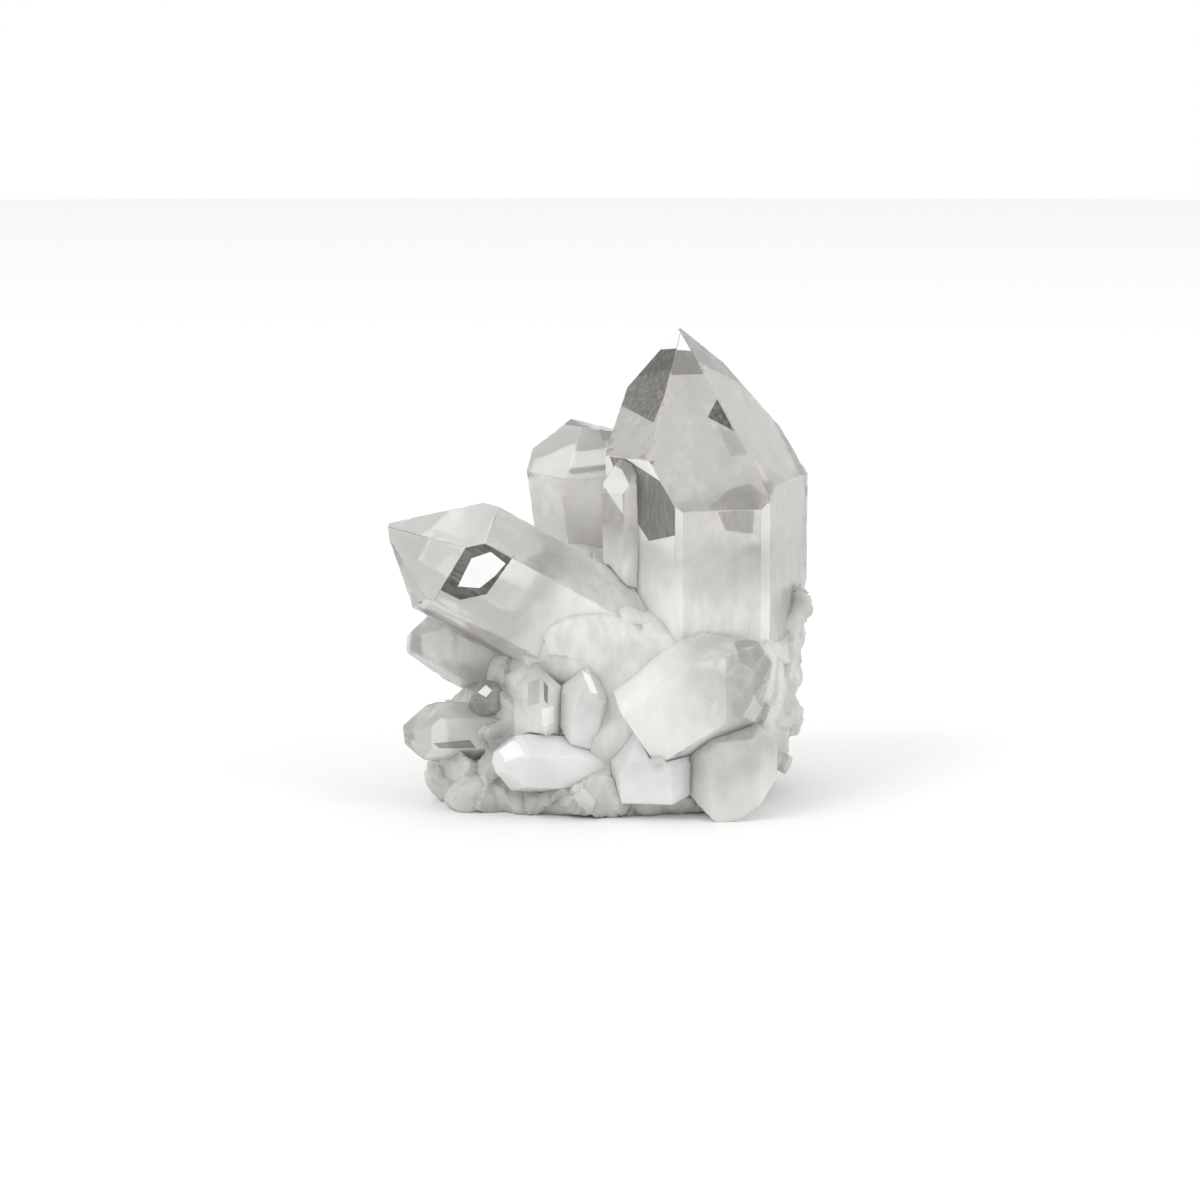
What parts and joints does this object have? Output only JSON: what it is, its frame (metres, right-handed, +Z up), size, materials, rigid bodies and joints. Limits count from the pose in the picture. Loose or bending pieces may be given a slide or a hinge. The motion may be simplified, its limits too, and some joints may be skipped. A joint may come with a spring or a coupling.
{
  "type": "quartz crystal cluster",
  "caption": "Free-standing cluster of clear pointed quartz crystals that fade to milky white where they grow out of a broken base.",
  "frame": {"origin": "middle of the outer box at the plane of the flat foot", "axes": "+Z up along the tall crystal, -Y towards the front of the cluster, +X to the right seen from the front"},
  "size_m": [0.068, 0.0516, 0.0757],
  "materials": {
    "clear_quartz": "polished, clear at the tip and milky at the root",
    "frosted_quartz": "satin, cloudy",
    "milky_quartz": "rough, milky white"
  },
  "bodies": {
    "root": {"main_crystal": "clear_quartz", "left_leaning_crystal": "clear_quartz", "second_crystal": "clear_quartz", "slim_front_crystal": "clear_quartz", "lower_left_crystal": "clear_quartz", "centre_left_crystal": "clear_quartz", "tiny_left_crystal": "clear_quartz", "back_right_crystal": "clear_quartz", "back_left_crystal": "clear_quartz", "lower_right_crystal": "frosted_quartz", "under_left_crystal": "frosted_quartz", "foot_crystal": "frosted_quartz", "centre_crystal": "frosted_quartz", "right_foot_crystal": "frosted_quartz", "middle_foot_crystal": "frosted_quartz", "back_centre_crystal": "frosted_quartz", "low_back_left_crystal": "frosted_quartz", "low_back_right_crystal": "frosted_quartz", "milky_base": "milky_quartz"}
  },
  "joints": []
}
